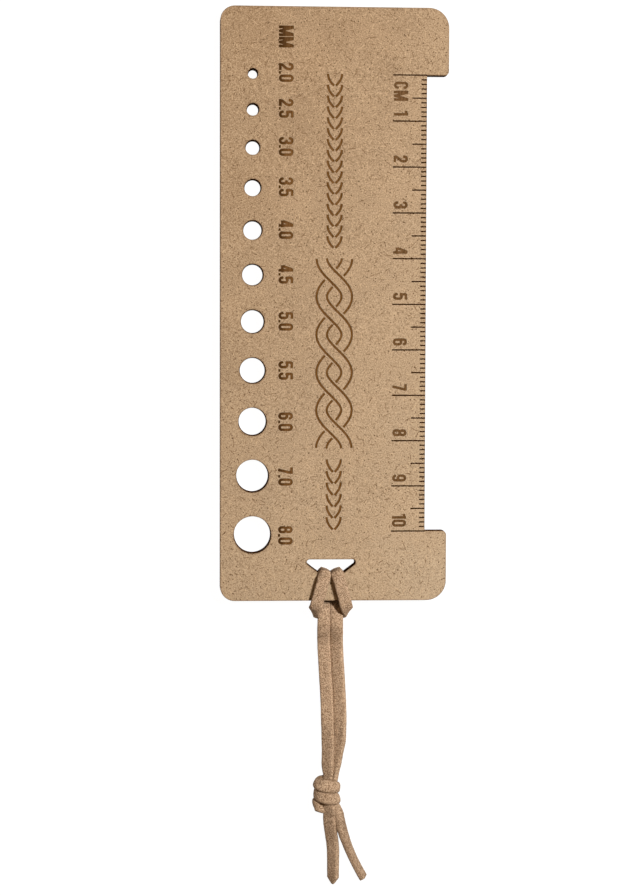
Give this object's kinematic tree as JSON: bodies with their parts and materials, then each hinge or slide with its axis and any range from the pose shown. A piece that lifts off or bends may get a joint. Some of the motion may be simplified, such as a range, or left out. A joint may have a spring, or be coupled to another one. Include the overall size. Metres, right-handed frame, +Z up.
{
  "type": "knitting gauge ruler",
  "caption": "Flat fibreboard knitting ruler with graded needle gauge holes, a centimetre scale in a stepped edge and a knotted suede lace hitched through a slot.",
  "frame": {"origin": "on the table under the middle of the plate's bounding box, measured without the lace", "axes": "+X across the plate from the needle gauge holes to the scale edge, +Y along the plate from the lace end to the zero mark, +Z up from the table out of the engraved face"},
  "size_m": [0.05, 0.1947, 0.0065],
  "materials": {
    "fibreboard": "raw medium density fibreboard, matte, laser cut and engraved",
    "suede": "flat faux suede lace with a short matte nap"
  },
  "bodies": {
    "root": {"gauge_plate": "fibreboard", "lace_hitch": "suede", "lace_strand_left": "suede", "lace_strand_right": "suede", "lace_knot": "suede", "lace_tail_left": "suede", "lace_tail_right": "suede"}
  },
  "joints": []
}
